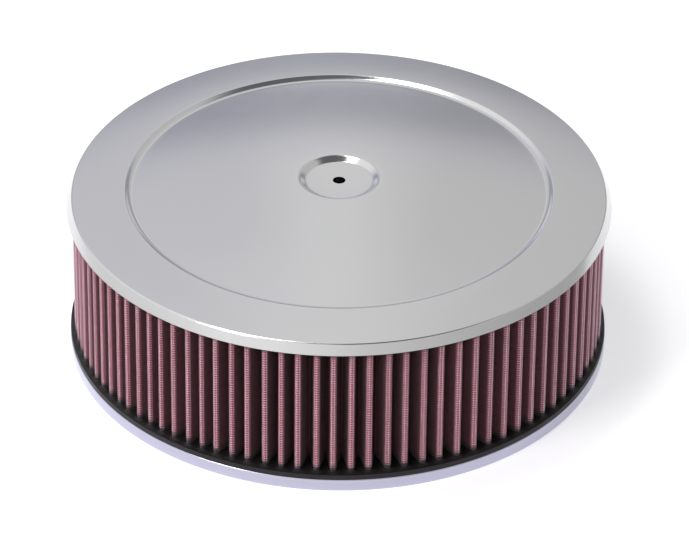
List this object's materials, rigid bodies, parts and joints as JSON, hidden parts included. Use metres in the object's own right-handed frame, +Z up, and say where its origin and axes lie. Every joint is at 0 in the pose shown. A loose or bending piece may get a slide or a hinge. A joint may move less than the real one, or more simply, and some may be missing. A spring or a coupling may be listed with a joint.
{
  "type": "carburetor air cleaner",
  "caption": "Round chromed air cleaner: a pressed lid with a stud hole and a pressed base with a carburetor neck hold a pleated cotton element between rubber end caps.",
  "frame": {"origin": "centre of the base plate's lower edge, on the axis of the neck", "axes": "+Z up along the axis of the neck and the stud hole, towards the lid; -Y is the side that faces the camera in the picture"},
  "size_m": [0.3556, 0.3556, 0.1228],
  "materials": {
    "chrome": "polished",
    "end_cap_rubber": "satin",
    "wire_screen": "satin",
    "gauze": "matte",
    "clip_strip": "satin",
    "gasket_rubber": "matte"
  },
  "bodies": {
    "root": {"top_plate": "chrome", "upper_end_cap": "end_cap_rubber", "outer_wire_screen": "wire_screen", "cotton_gauze": "gauze", "inner_wire_screen": "wire_screen", "seam_clip": "clip_strip", "lower_end_cap": "end_cap_rubber", "base_plate": "chrome", "neck_gasket": "gasket_rubber"}
  },
  "joints": []
}
